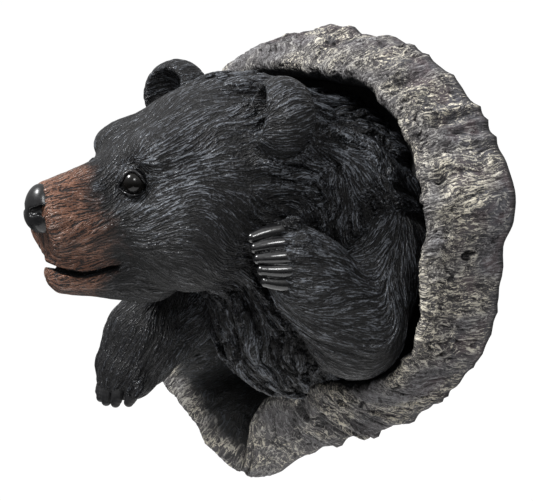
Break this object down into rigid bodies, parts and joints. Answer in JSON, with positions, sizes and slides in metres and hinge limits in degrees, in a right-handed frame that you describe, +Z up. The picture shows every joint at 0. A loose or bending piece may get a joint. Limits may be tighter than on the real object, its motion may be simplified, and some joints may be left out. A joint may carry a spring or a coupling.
{
  "type": "wall plaque",
  "caption": "Wall plaque of a carved black bear bust that looks out of a hollow log with bark, hung on a screw by a keyhole in its back.",
  "frame": {"origin": "on the flat back of the log, in the wall's plane, behind the middle of its hollow", "axes": "+Z up, +Y into the wall, -Y out of the wall and the way the bear faces, +X the bear's left side"},
  "size_m": [0.3548, 0.2932, 0.3957],
  "materials": {
    "bark": "painted cast resin, dark grey-brown bark with pale dry-brushed ridges, matte; the hollow is near black",
    "black_fur": "painted cast resin, black fur with a satin sheen and grey highlights; brown muzzle, glossy nose, eyes and near claws"
  },
  "bodies": {
    "root": {"log_frame": "bark", "bear": "black_fur"}
  },
  "joints": []
}
